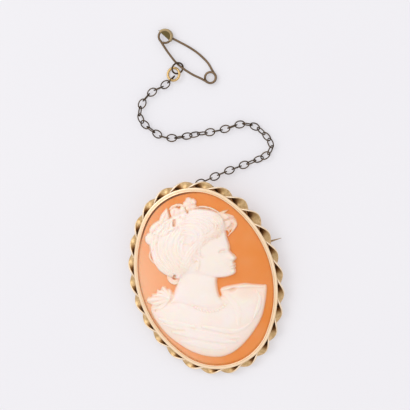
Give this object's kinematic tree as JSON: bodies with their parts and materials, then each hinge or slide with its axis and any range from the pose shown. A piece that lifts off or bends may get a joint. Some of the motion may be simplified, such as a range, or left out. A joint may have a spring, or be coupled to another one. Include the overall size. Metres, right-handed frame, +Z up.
{
  "type": "cameo brooch with safety chain and safety pin",
  "caption": "Oval carved shell cameo in a gold setting with a twisted ribbon border, a hinged pin and open catch behind, and a fine safety chain that ends in a small safety pin.",
  "frame": {"origin": "middle of the whole piece's box, on the table that it lies on", "axes": "+Y along the oval's length towards the safety pin, +X across it towards the pin's point, +Z up"},
  "size_m": [0.0403, 0.0787, 0.0081],
  "materials": {
    "carved_shell": "orange shell ground with a carved ivory layer, satin",
    "gold": "worn yellow gold, brown in the hollows",
    "gold_pin": "drawn gold wire, satin",
    "gold_ring": "polished gold wire",
    "dark_bronze": "dark bronze patina",
    "brown_bronze": "brown bronze wire with an olive sheet cap"
  },
  "bodies": {
    "brooch": {"cameo": "carved_shell", "setting": "gold", "hinge_rivet": "gold_pin", "gold_jump_ring": "gold_ring", "dark_ring": "dark_bronze", "safety_pin": "brown_bronze", "chain_link_01": "dark_bronze", "chain_link_02": "dark_bronze", "chain_link_03": "dark_bronze", "chain_link_04": "dark_bronze", "chain_link_05": "dark_bronze", "chain_link_06": "dark_bronze", "chain_link_07": "dark_bronze", "chain_link_08": "dark_bronze", "chain_link_09": "dark_bronze", "chain_link_10": "dark_bronze", "chain_link_11": "dark_bronze", "chain_link_12": "dark_bronze", "chain_link_13": "dark_bronze", "chain_link_14": "dark_bronze", "chain_link_15": "dark_bronze", "chain_link_16": "dark_bronze", "chain_link_17": "dark_bronze", "chain_link_18": "dark_bronze", "chain_link_19": "dark_bronze", "chain_link_20": "dark_bronze", "chain_link_21": "dark_bronze", "chain_link_22": "dark_bronze", "chain_link_23": "dark_bronze", "chain_link_24": "dark_bronze", "chain_link_25": "dark_bronze", "chain_link_26": "dark_bronze", "chain_link_27": "dark_bronze", "chain_link_28": "dark_bronze", "chain_link_29": "dark_bronze", "chain_link_30": "dark_bronze", "chain_link_31": "dark_bronze", "chain_link_32": "dark_bronze", "chain_link_33": "dark_bronze", "chain_link_34": "dark_bronze", "chain_link_35": "dark_bronze", "chain_link_36": "dark_bronze", "chain_link_37": "dark_bronze", "chain_link_38": "dark_bronze", "chain_link_39": "dark_bronze"},
    "pin": {"pin_stem": "gold_pin"}
  },
  "joints": [
    {"name": "pin_hinge", "type": "hinge", "parent": "brooch", "child": "pin", "pos_m": [-0.01756, -0.01336, 0.00127], "axis": [0, 0.9946, 0.1041], "range_deg": [0, 100]}
  ]
}
